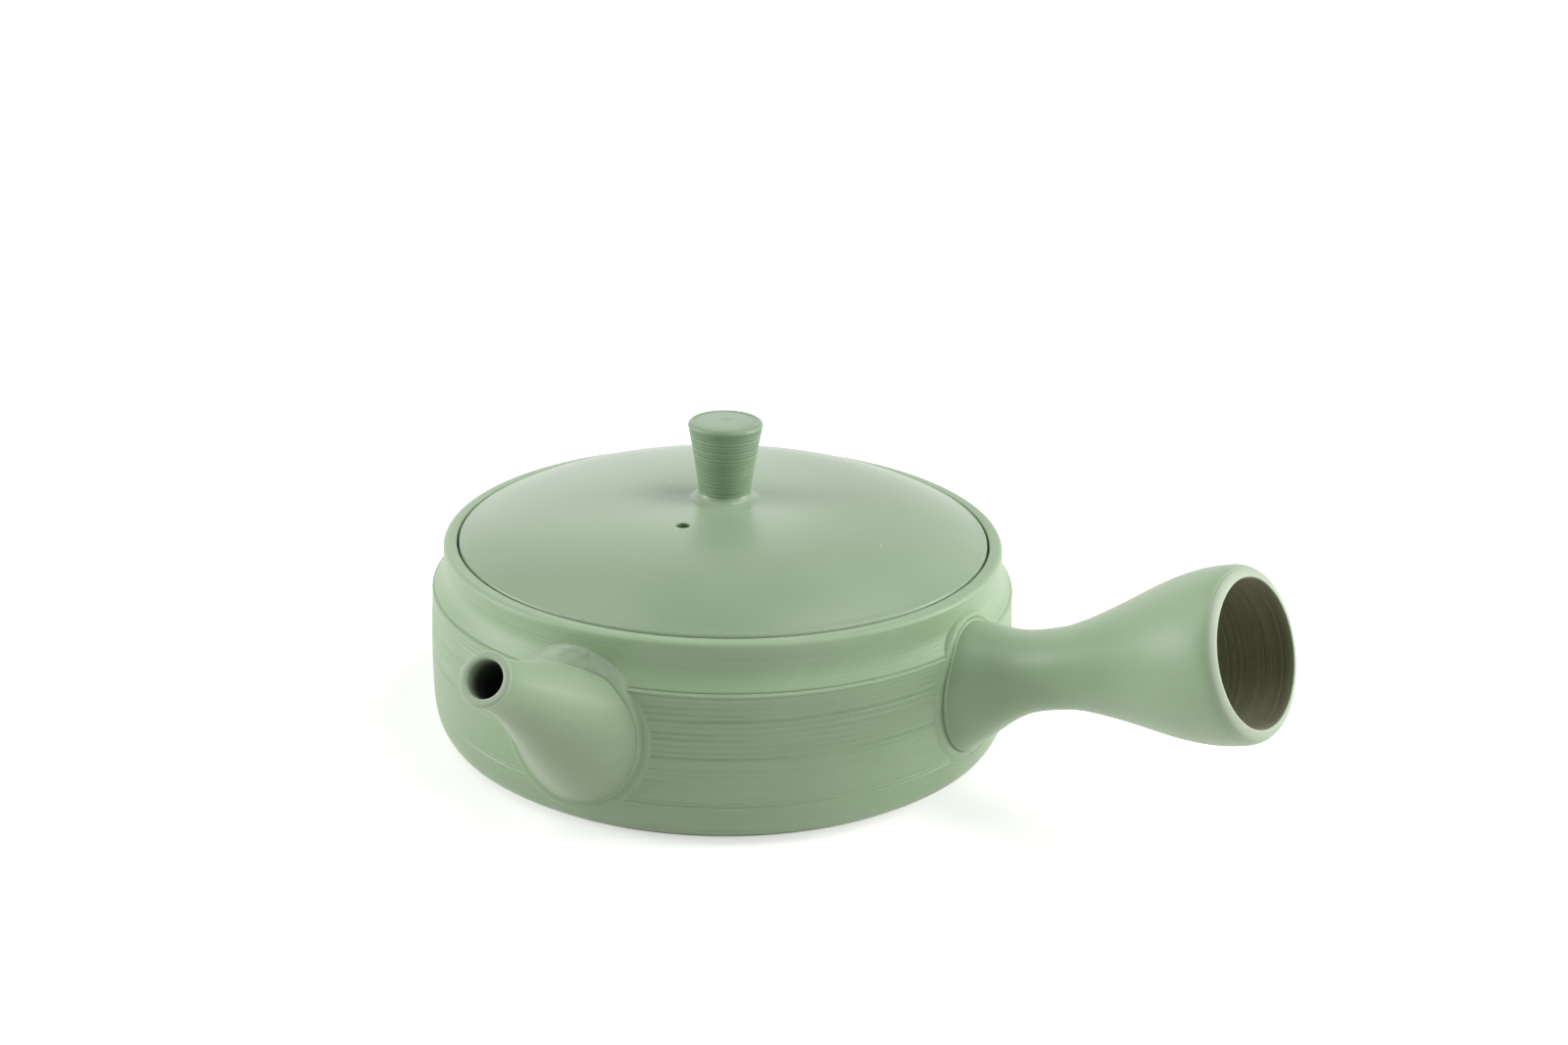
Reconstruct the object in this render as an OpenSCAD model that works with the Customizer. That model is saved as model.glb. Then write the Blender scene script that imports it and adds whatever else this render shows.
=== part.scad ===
// Flat side-handled teapot of fine stoneware: a thrown pot with a drop-in lid, a hollow
// trumpet handle, a flared spout and a perforated clay strainer behind the spout.
// The origin is the foot's centre on the table, +Z is up and the handle points along +X.

/* [Pot] */
// Widest diameter of the pot
body_d = 120; // [100:1:140]
// Height of the rim above the table
rim_h = 40.3; // [38:0.1:56]
// Thickness of the thrown wall
wall = 3; // [2:0.1:4]
// Thickness of the floor
floor_t = 3.4; // [2.5:0.1:5]
// How far the wall tucks in at the foot
tuck = 3.2; // [2:0.1:5]
// Height over which the wall tucks in
tuck_h = 10.5; // [8:0.5:16]
// Radius of the curve between wall and floor inside
floor_round = 5; // [3:0.5:8]

/* [Shoulder and rim] */
// Height of the cove and the rim above the shoulder's edge
neck_h = 9; // [7:0.5:12]
// Height of the hollow cove over the shoulder
cove_h = 4.5; // [3:0.5:6]
// How far the neck stands in from the wall
neck_in = 2.8; // [2:0.1:4]
// Rounding of the shoulder's edge
edge_round = 0.8; // [0.4:0.1:1.5]
// Width of the rim around the lid
rim_w = 2.4; // [1.8:0.1:4]
// Rounding of the rim's outer edge
rim_round = 1; // [0.5:0.1:1.2]
// Width of the ledge that carries the lid
ledge_w = 3.8; // [3:0.1:6]
// Thickness of the ledge at its inner edge
ledge_t = 3; // [2:0.1:4]
// Height of the slope from the ledge out to the wall inside
ledge_slope = 5; // [3:0.5:7]

/* [Lid] */
// Height of the lid's edge from its seat to the level of the rim
lid_edge_t = 2.9; // [2:0.1:4]
// Rise of the dome above the rim
lid_rise = 8.6; // [5:0.1:14]
// Fullness of the dome: 2 is a plain bowl, more is flatter on top
lid_fullness = 3.7; // [2:0.1:5]
// Thickness of the dome
lid_wall = 3; // [2:0.1:4]
// Rounding of the lid's edge
lid_round = 0.9; // [0.4:0.1:1.5]
// Depth of the skirt below the seat
skirt_h = 5.6; // [3:0.1:8]
// Thickness of the skirt
skirt_t = 2.8; // [2:0.1:4]
// Width of the gap between lid and rim
lid_gap = 0.4; // [0.2:0.1:1]
// Play of the skirt in the mouth
skirt_gap = 0.6; // [0.3:0.1:1.5]
// Height of the lid above its ledge
seat_gap = 0.2; // [0.1:0.05:0.3]
// Diameter of the steam hole
vent_d = 2.4; // [1.5:0.1:4]
// Distance of the steam hole from the knob's axis
vent_at = 20; // [12:0.5:28]
// Angle of the steam hole, clockwise from the handle
vent_angle = 75; // [0:1:359]

/* [Knob] */
// Diameter of the knob's top
knob_d = 15; // [11:0.1:19]
// Diameter of the knob's stem at the lid
knob_stem_d = 10.9; // [8:0.1:11]
// Height of the knob above the top of the dome
knob_h = 15.8; // [10:0.1:22]
// Rounding of the knob's top edge
knob_round = 0.9; // [0.4:0.1:1.5]
// Radius of the clay fillet round the stem
knob_seam_r = 1.5; // [0.8:0.1:2.5]

/* [Handle] */
// Length of the handle along its axis, from the wall
handle_len = 62.4; // [50:0.2:80]
// Tilt of the handle above the table
handle_tilt = 20.7; // [10:0.1:30]
// Depth of the handle's axis below the rim, where it meets the wall
handle_drop = 16.6; // [15:0.1:18]
// Sideways shift of the handle's axis from the pot's axis
handle_offset = 5.2; // [0:0.1:6]
// Diameter of the handle's root
handle_root_d = 26; // [22:0.5:29]
// Diameter of the handle's waist
handle_waist_d = 15; // [12:0.1:18]
// Distance of the waist from the wall
handle_waist_at = 17; // [12:0.5:24]
// Largest diameter of the handle's mouth
handle_mouth_d = 32.5; // [24:0.1:38]
// Thickness of the handle's wall
handle_wall = 2.6; // [2:0.1:3.5]
// How far the lip draws in from the mouth's largest diameter
handle_lip_in = 0.4; // [0.1:0.1:0.8]

/* [Spout] */
// Angle between the handle and the spout, seen from above
spout_angle = 87; // [75:1:100]
// Sideways shift of the spout's axis, towards the handle
spout_offset = 9.7; // [0:0.1:12]
// Distance of the spout's mouth outside the wall
spout_out = 24.8; // [22:0.1:28]
// Height of the mouth's centre above the rim
spout_rise = 0; // [-1:0.5:6]
// Tilt of the spout above the table
spout_tilt = 34.5; // [28:0.5:37]
// Diameter of the spout at its mouth
spout_d = 10.2; // [8.5:0.1:13]
// Bore of the mouth
spout_bore_d = 7.5; // [6:0.1:7.5]
// Rounding of the mouth's edges
spout_round = 0.35; // [0.2:0.05:0.4]
// Length of the even tube behind the mouth
spout_tube = 3; // [1:0.5:6]
// Length of the flare behind the even tube
spout_flare_len = 37; // [34:0.5:42]
// Diameter of the spout's root
spout_root_d = 26.8; // [25:0.2:29]
// Thickness of the spout's wall at its root
spout_wall = 2.4; // [1.8:0.1:3]

/* [Strainer] */
// Diameter of the pour hole through the wall behind the spout
pour_hole_d = 16; // [13:0.5:17]
// Drop of the pour hole below the spout's axis at the wall
pour_drop = 2.2; // [1:0.1:4]
// Width of the rest around the pour hole, inside the strainer
strainer_lap = 0.8; // [0.4:0.1:1.2]
// Thickness of the strainer
strainer_t = 1.8; // [1.2:0.1:2.2]
// Diameter of a strainer hole
strainer_hole_d = 1.4; // [0.8:0.1:1.6]
// Rings of holes around the middle one
strainer_rings = 4; // [2:1:4]
// Angle between two rings of holes
strainer_step = 16; // [14:1:17]

/* [Luted seams] */
// Width of the clay bead round the roots of the spout and the handle
seam_w = 1; // [0.6:0.1:1.6]
// Height of the clay bead above the wall
seam_h = 0.8; // [0.4:0.1:1.5]

/* [Hidden] */
$fn = 96;

clay = "#8ba684";
clay_bead = "#9db396";
clay_lid = "#94ad8c";
clay_inside = "#5b5a43";

// Steps of a long curve and of a small rounding
curve_n = 14;
round_n = 5;
// Powers of the curves: foot, handle flares, spout flare and knob stem
foot_power = 4;
handle_power = 2.5;
spout_power = 1.8;
knob_power = 1.4;
// Slopes at which the roundings of the shoulder's edge, the lid's edge and the knob's top meet
// the surface that runs on from them
edge_slope = 60;
lid_slope = 72;
knob_slope = 18;
// How far a root runs on behind the wall before it is trimmed to it
root_reach = 3;

body_r = body_d / 2;
foot_r = body_r - tuck;
neck_r = body_r - neck_in;
gallery_r = neck_r - rim_w;
mouth_r = gallery_r - ledge_w;
cavity_r = body_r - wall;
shoulder_z = rim_h - neck_h;

lid_r = gallery_r - lid_gap;
skirt_r = mouth_r - skirt_gap;
seat_z = rim_h - lid_edge_t;
ledge_z = seat_z - seat_gap;
ledge_under = ledge_z - ledge_t;
dome_top = rim_h + lid_rise;

knob_r = knob_d / 2;
stem_r = knob_stem_d / 2;

handle_z = rim_h - handle_drop;
handle_root_r = handle_root_d / 2;
handle_waist_r = handle_waist_d / 2;
handle_mouth_r = handle_mouth_d / 2;
// The root's flare starts behind the wall, where the tilted root's lower side is trimmed
handle_root_at = -handle_root_r * tan(handle_tilt);
handle_mouth_at = handle_len - 2 * handle_wall;

spout_z = rim_h + spout_rise;
spout_wall_x = sqrt(pow(body_r, 2) - pow(spout_offset, 2));
spout_len = spout_tube + spout_flare_len;
pour_angle = spout_angle - asin(spout_offset / body_r);
pour_z = spout_z - spout_out * tan(spout_tilt) - pour_drop;
strainer_in = pour_hole_d / 2 + strainer_lap;

function reversed(list) = [for (i = [len(list) - 1:-1:0]) list[i]];

// Share of a flare from 0 to 1, with level ends
function flare(t, power) = pow(sin(90 * max(0, min(1, t))), power);

// Points of a round stretch about a centre, from angle a to angle b
function arc(x, y, r, a, b) =
    [for (i = [0:round_n]) let (w = a + (b - a) * i / round_n) [x + r * cos(w), y + r * sin(w)]];

// Outside of the pot from foot to rim as [radius, height]
function pot_outside() = concat(
    [for (i = [0:curve_n])
        [body_r - tuck * pow(1 - i / curve_n, foot_power), tuck_h * i / curve_n]],
    arc(body_r - edge_round, shoulder_z - edge_round, edge_round, 0, edge_slope),
    [for (i = [1:curve_n])
        [neck_r + (neck_in - edge_round / 2) * (1 - sin(90 * i / curve_n)),
         shoulder_z + cove_h * i / curve_n]],
    arc(neck_r - rim_round, rim_h - rim_round, rim_round, 0, 90));

// Inside of the pot from rim to floor
function pot_inside() = concat(
    [[gallery_r, rim_h], [gallery_r, ledge_z], [mouth_r, ledge_z], [mouth_r, ledge_under],
     [cavity_r, ledge_under - ledge_slope]],
    arc(cavity_r - floor_round, floor_t + floor_round, floor_round, 0, -90),
    [[0, floor_t]]);

// Top of the lid at a radius, and the lid's outside from the knob to the seat
function dome_z(r) = rim_h + lid_rise * (1 - pow(r / lid_r, lid_fullness));
function lid_outside() = concat(
    [for (i = [0:curve_n]) let (r = (lid_r - lid_round) * i / curve_n) [r, dome_z(r)]],
    arc(lid_r - lid_round, dome_z(lid_r - lid_round) - lid_round, lid_round, lid_slope, 0),
    [[lid_r, seat_z]]);

// Radius of the handle at a distance s from the wall
function handle_r(s) = s < handle_waist_at
    ? handle_waist_r + (handle_root_r - handle_waist_r)
        * flare((handle_waist_at - s) / (handle_waist_at - handle_root_at), handle_power)
    : handle_waist_r + (handle_mouth_r - handle_waist_r)
        * flare((s - handle_waist_at) / (handle_mouth_at - handle_waist_at), handle_power);

// Side of the handle from root to mouth as [radius, distance], grown by g
function handle_side(g = 0) = concat(
    [[handle_root_r + g, handle_root_at - root_reach]],
    [for (i = [0:curve_n]) let (s = handle_root_at + (handle_waist_at - handle_root_at) * i / curve_n)
        [handle_r(s) + g, s]],
    [for (i = [1:curve_n]) let (s = handle_waist_at + (handle_mouth_at - handle_waist_at) * i / curve_n)
        [handle_r(s) + g, s]]);

// Side of the spout, or of its bore, from the mouth's even tube to the root
function spout_side(mouth, root) = concat(
    [for (i = [0:curve_n])
        [mouth + (root - mouth) * flare(i / curve_n, spout_power),
         -spout_tube - spout_flare_len * i / curve_n]],
    [[root, -spout_len - root_reach]]);

module along_handle() {
    translate([body_r, handle_offset, handle_z]) rotate([0, 90 - handle_tilt, 0]) children();
}

module along_spout() {
    rotate([0, 0, -spout_angle]) translate([spout_wall_x + spout_out, spout_offset, spout_z])
        rotate([0, 90 - spout_tilt, 0]) children();
}

// Level line from the pot's axis out through the pour hole
module along_pour() {
    rotate([0, 0, -pour_angle]) translate([0, 0, pour_z]) rotate([0, 90, 0]) children();
}

// Filled forms, to which the pieces that meet them are trimmed
module pot_filled() {
    rotate_extrude() polygon(concat([[0, -rim_h], [foot_r, -rim_h]], pot_outside(), [[0, rim_h]]));
}

module pot_room() {
    rotate_extrude() polygon(concat([[0, rim_h]], pot_inside()));
}

module handle_filled(g = 0) {
    along_handle() rotate_extrude() polygon(concat(
        [[0, handle_root_at - root_reach]], handle_side(g), [[0, handle_mouth_at]]));
}

module spout_filled(g = 0) {
    mouth = spout_d / 2 + g;
    along_spout() rotate_extrude() polygon(concat(
        [[0, 0], [mouth, 0]], spout_side(mouth, spout_root_d / 2 + g),
        [[0, -spout_len - root_reach]]));
}

module lid_filled() {
    rotate_extrude() polygon(concat(lid_outside(), [[0, seat_z]]));
}

// Thrown pot: flat foot, wall, shoulder, cove, rim and the ledge that carries the lid
module body() {
    color(clay) difference() {
        rotate_extrude() polygon(concat([[0, 0]], pot_outside(), pot_inside()));
        along_pour() cylinder(d = pour_hole_d, h = body_d);
    }
}

// Thrown spout, open at its mouth and trimmed to the wall
module spout() {
    mouth = spout_d / 2;
    bore = spout_bore_d / 2;
    root = spout_root_d / 2;
    color(clay) difference() {
        along_spout() rotate_extrude() polygon(concat(
            arc(mouth - spout_round, -spout_round, spout_round, 90, 0),
            spout_side(mouth, root),
            reversed(spout_side(bore, root - spout_wall)),
            arc(bore + spout_round, -spout_round, spout_round, 180, 90)));
        pot_filled();
    }
}

// Domed clay strainer luted over the pour hole inside the pot
module strainer() {
    color(clay_inside) intersection() {
        along_pour() translate([0, 0, cavity_r]) difference() {
            sphere(r = strainer_in + strainer_t);
            sphere(r = strainer_in);
            for (ring = [0:strainer_rings], i = [1:max(1, 6 * ring)])
                rotate([0, 180 - strainer_step * ring, 60 * i / max(1, ring)])
                    translate([0, 0, strainer_in - strainer_t / 2])
                        cylinder(d = strainer_hole_d, h = 2 * strainer_t);
        }
        pot_room();
    }
}

// Thrown trumpet handle, hollow to the wall, with a round lip
module handle() {
    lip_r = handle_wall / 2;
    color(clay) difference() {
        along_handle() rotate_extrude() polygon(concat(
            handle_side(),
            arc(handle_mouth_r - handle_lip_in - lip_r, handle_len - lip_r, lip_r, 0, 180),
            reversed(handle_side(-handle_wall))));
        pot_filled();
    }
}

// Drum to which the clay beads reach: a little proud of the wall, and filling the cove
module seam_reach() {
    cylinder(r = body_r + seam_h, h = rim_h);
}

// Clay bead pressed round a root where it meets the wall
module spout_seam() {
    color(clay_bead) difference() {
        intersection() {
            spout_filled(seam_w);
            seam_reach();
        }
        spout_filled();
        pot_filled();
    }
}

module handle_seam() {
    color(clay_bead) difference() {
        intersection() {
            handle_filled(seam_w);
            seam_reach();
        }
        handle_filled();
        pot_filled();
    }
}

// Domed lid with the skirt that keeps it in the mouth, and its steam hole
module lid() {
    skirt_in = skirt_r - skirt_t;
    color(clay_lid) difference() {
        rotate_extrude() polygon(concat(
            lid_outside(),
            [[skirt_r, seat_z], [skirt_r, seat_z - skirt_h], [skirt_in, seat_z - skirt_h]],
            [for (i = [curve_n:-1:0]) let (r = skirt_in * i / curve_n) [r, dome_z(r) - lid_wall]]));
        rotate([0, 0, -vent_angle]) translate([vent_at, 0, seat_z])
            cylinder(d = vent_d, h = dome_top - seat_z);
    }
}

// Outline of the knob, from inside the lid to its rounded top
module knob_outline() {
    stem_h = knob_h - knob_round;
    polygon(concat(
        [[0, dome_top - lid_wall], [stem_r, dome_top - lid_wall]],
        [for (i = [0:curve_n])
            [stem_r + (knob_r - stem_r) * pow(i / curve_n, knob_power), dome_top + stem_h * i / curve_n]],
        arc(knob_r - knob_round, dome_top + stem_h, knob_round, knob_slope, 90),
        [[0, dome_top + knob_h]]));
}

// Turned knob, seated on the dome
module lid_knob() {
    color(clay_lid) difference() {
        rotate_extrude() knob_outline();
        lid_filled();
    }
}

// Clay fillet between knob and lid
module knob_seam() {
    seam_r = stem_r + knob_seam_r;
    color(clay_bead) difference() {
        rotate_extrude() difference() {
            polygon(concat(
                [[0, dome_top - lid_wall], [seam_r, dome_top - lid_wall]],
                arc(seam_r, dome_top + knob_seam_r, knob_seam_r, 270, 180),
                [[0, dome_top + knob_seam_r]]));
            knob_outline();
        }
        lid_filled();
    }
}

body();
spout();
strainer();
handle();
spout_seam();
handle_seam();
lid();
lid_knob();
knob_seam();
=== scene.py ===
import math

import bpy
from mathutils import Matrix, Vector, noise


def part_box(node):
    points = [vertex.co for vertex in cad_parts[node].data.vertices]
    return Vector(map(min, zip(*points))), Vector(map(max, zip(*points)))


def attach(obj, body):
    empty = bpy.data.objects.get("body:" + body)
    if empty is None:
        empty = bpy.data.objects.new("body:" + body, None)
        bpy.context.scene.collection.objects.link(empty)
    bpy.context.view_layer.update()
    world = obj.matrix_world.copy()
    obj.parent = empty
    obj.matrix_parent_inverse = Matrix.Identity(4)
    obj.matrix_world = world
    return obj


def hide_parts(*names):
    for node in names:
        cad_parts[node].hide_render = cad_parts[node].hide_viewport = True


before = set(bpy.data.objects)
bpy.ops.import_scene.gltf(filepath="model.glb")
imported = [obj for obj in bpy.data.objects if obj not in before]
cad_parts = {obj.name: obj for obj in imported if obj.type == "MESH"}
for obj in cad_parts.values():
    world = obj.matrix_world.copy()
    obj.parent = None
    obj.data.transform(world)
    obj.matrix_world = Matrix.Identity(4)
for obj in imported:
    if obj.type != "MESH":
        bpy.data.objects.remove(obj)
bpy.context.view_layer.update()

# Pot
# Thrown on the wheel from fine stoneware and turned when leather hard. A toothed rib combs the
# wall, a sharp tool cuts the paired grooves low down and the line under the shoulder, and the
# inside stays bare, darker clay.
MM = 0.001
pot_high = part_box("body")[1]
POT_R = pot_high.x
RIM_Z = pot_high.z
TUCK = 3.2 * MM
TUCK_H = 10.5 * MM
TUCK_POWER = 4
BELLY = 0.5 * MM
FOOT_ROUND = 1 * MM
FOOT_TOP = 1.6 * MM
SHOULDER_Z = RIM_Z - 9 * MM
EDGE_ROUND = 0.8 * MM
EDGE_TURN = math.radians(60)
NECK_IN = 2.5 * MM
NECK_R = POT_R - NECK_IN
COVE_H = 4.5 * MM
RIM_ROUND = 1 * MM
RIM_INNER_ROUND = 0.25 * MM
GALLERY_R = NECK_R - 2.7 * MM
MOUTH_R = GALLERY_R - 3.8 * MM
LEDGE_Z = RIM_Z - 3.1 * MM
LEDGE_T = 3 * MM
LEDGE_SLOPE = 5 * MM
CAVITY_R = POT_R - 3 * MM
FLOOR_Z = 3.4 * MM
FLOOR_ROUND = 5 * MM
COMB_FOOT = 0.6 * TUCK_H
COMB_HEAD = SHOULDER_Z + EDGE_ROUND
POT_TURNS = 256
# Spacing of the profile's points: underneath, on the tuck of the foot, where the comb goes, on the
# cove, under the ledge, down the inside and on the floor inside
UNDER_STEP = 6 * MM
TUCK_STEP = 0.5 * MM
COMB_STEP = 0.11 * MM
COVE_STEP = 0.35 * MM
LEDGE_STEP = 1.5 * MM
INSIDE_STEP = 0.7 * MM
FLOOR_STEP = 2.5 * MM
# Tool marks on the outside as (height, depth, half width); a negative depth is a ridge
TOOL_MARKS = (
    (8.4 * MM, 0.18 * MM, 0.16 * MM),
    (9.2 * MM, 0.12 * MM, 0.16 * MM),
    (30.4 * MM, 0.14 * MM, 0.14 * MM),
    (30.82 * MM, -0.09 * MM, 0.2 * MM),
    (31.2 * MM, 0.2 * MM, 0.16 * MM),
)
GREEN = (0.289, 0.417, 0.242, 1)
GREEN_PALE = (0.364, 0.497, 0.312, 1)
BARE = (0.082, 0.079, 0.045, 1)
BARE_PALE = (0.15, 0.142, 0.083, 1)


def wall_r(z):
    """Outside radius of the pot at a height."""
    edge_z = SHOULDER_Z - EDGE_ROUND
    if z < edge_z:
        tuck = TUCK * max(0, 1 - max(z, 0) / TUCK_H) ** TUCK_POWER
        return POT_R + BELLY * math.sin(math.pi * max(z, 0) / edge_z) - tuck
    if z < SHOULDER_Z:
        rise = min(z - edge_z, EDGE_ROUND * math.sin(EDGE_TURN))
        return POT_R - EDGE_ROUND + math.sqrt(EDGE_ROUND**2 - rise**2)
    share = min((z - SHOULDER_Z) / COVE_H, 1)
    return NECK_R + (NECK_IN - EDGE_ROUND / 2) * (1 - math.sin(share * math.pi / 2))


def marked_r(z):
    """Outside radius with the tool marks cut into it."""
    marks = [depth * math.exp(-(((z - at) / half) ** 2)) for at, depth, half in TOOL_MARKS]
    return wall_r(z) - sum(marks)


def steps(low, high, step):
    """Evenly spaced values from low to high, both ends included, at most step apart."""
    count = max(1, math.ceil(abs(high - low) / step))
    return [low + (high - low) * i / count for i in range(count)] + [high]


def arc(r, z, radius, start, end, count=6):
    """Points of a round stretch of a profile about (r, z), from one angle to another in degrees."""
    angles = [math.radians(start + (end - start) * i / count) for i in range(count + 1)]
    return [(r + radius * math.cos(a), z + radius * math.sin(a)) for a in angles]


def filled(points, step):
    """The same profile with more points, so that no two are further apart than step."""
    dense = [points[0]]
    for (r0, z0), (r1, z1) in zip(points, points[1:]):
        count = max(1, math.ceil(math.hypot(r1 - r0, z1 - z0) / step))
        for i in range(1, count + 1):
            dense.append((r0 + (r1 - r0) * i / count, z0 + (z1 - z0) * i / count))
    return dense


def finish_mesh(name, verts, faces, crease=40):
    """A new object of smooth faces, with edges sharper than crease degrees kept sharp."""
    mesh = bpy.data.meshes.new(name)
    mesh.from_pydata(verts, [], faces)
    mesh.shade_smooth()
    mesh.set_sharp_from_angle(angle=math.radians(crease))
    piece = bpy.data.objects.new(name, mesh)
    bpy.context.scene.collection.objects.link(piece)
    return piece


def ring_faces(rings):
    """Faces between neighbouring rings of vertices; a ring of one vertex is a pole."""
    turns = max(len(ring) for ring in rings)
    faces = []
    for low, high in zip(rings, rings[1:]):
        for k in range(turns):
            n = (k + 1) % turns
            corners = [low[k % len(low)], low[n % len(low)]]
            corners += [high[n % len(high)], high[k % len(high)]]
            face = tuple(dict.fromkeys(corners))
            if len(face) > 2:
                faces.append(face)
    return faces


ON_AXIS = 1e-9


def turned(name, profile, turns, bare=None, closed=False):
    """A turned piece about Z. Its profile runs from below, round the outside and back down inside; a
    closed one returns to its first point. The rows of faces in the range bare are bare clay."""
    verts = []
    rings = []
    for r, z in profile:
        count = 1 if r < ON_AXIS else turns
        rings.append(range(len(verts), len(verts) + count))
        angles = [2 * math.pi * k / turns for k in range(count)]
        verts += [(r * math.cos(a), r * math.sin(a), z) for a in angles]
    piece = finish_mesh(name, verts, ring_faces(rings + rings[:1] if closed else rings))
    if bare is not None:
        marks = [k // turns in bare for k in range(len(piece.data.polygons))]
        piece.data.attributes.new("bare", "BOOLEAN", "FACE").data.foreach_set("value", marks)
    return piece


def feed(tree, made, feeds):
    """Gives a node's inputs, by name or number, what they take: numbers, colours or other sockets."""
    for key, value in feeds.items():
        if isinstance(value, bpy.types.NodeSocket):
            tree.links.new(value, made.inputs[key])
        else:
            made.inputs[key].default_value = value


def node(tree, kind, x, y, feeds=None, **settings):
    """One node at a place in a tree. Feeds go to its inputs, and settings are its properties."""
    made = tree.nodes.new(kind)
    made.location = (x, y)
    for key, value in settings.items():
        setattr(made, key, value)
    feed(tree, made, feeds or {})
    return made


def math_node(tree, operation, x, y, *values):
    """The result of a Math node whose inputs are numbers or sockets."""
    return node(tree, "ShaderNodeMath", x, y, dict(enumerate(values)), operation=operation).outputs[0]


def ramp(tree, x, y, value, start, end, low=0.0, high=1.0):
    """Goes softly from low to high as value goes from start to end."""
    feeds = {"Value": value, "From Min": start, "From Max": end, "To Min": low, "To Max": high}
    return node(tree, "ShaderNodeMapRange", x, y, feeds, interpolation_type="SMOOTHSTEP").outputs[0]


def mix(tree, x, y, share, first, second):
    """The colour that lies a share of the way from first to second."""
    feeds = {"Factor": share, "A": first, "B": second}
    return node(tree, "ShaderNodeMix", x, y, feeds, data_type="RGBA").outputs["Result"]


def sockets(tree, in_out, **kinds):
    """Named inputs or outputs of a tree, with _ for a space in a name."""
    for key, kind in kinds.items():
        name = key.replace("_", " ")
        tree.interface.new_socket(name, in_out=in_out, socket_type="NodeSocket" + kind)


# Share of the way from one line to the next that is the steep side, and the shallowest line's depth
STEP_SHARE = 0.36
SHALLOWEST = 0.4
# How often a line sways and comes and goes round the piece, and the values at which it starts to show
# and shows in full
SWAY_SCALE = 14
PATCH_SCALE = (22, 22, 0)
PATCH_FROM = 0.28
PATCH_FULL = 0.55


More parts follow.
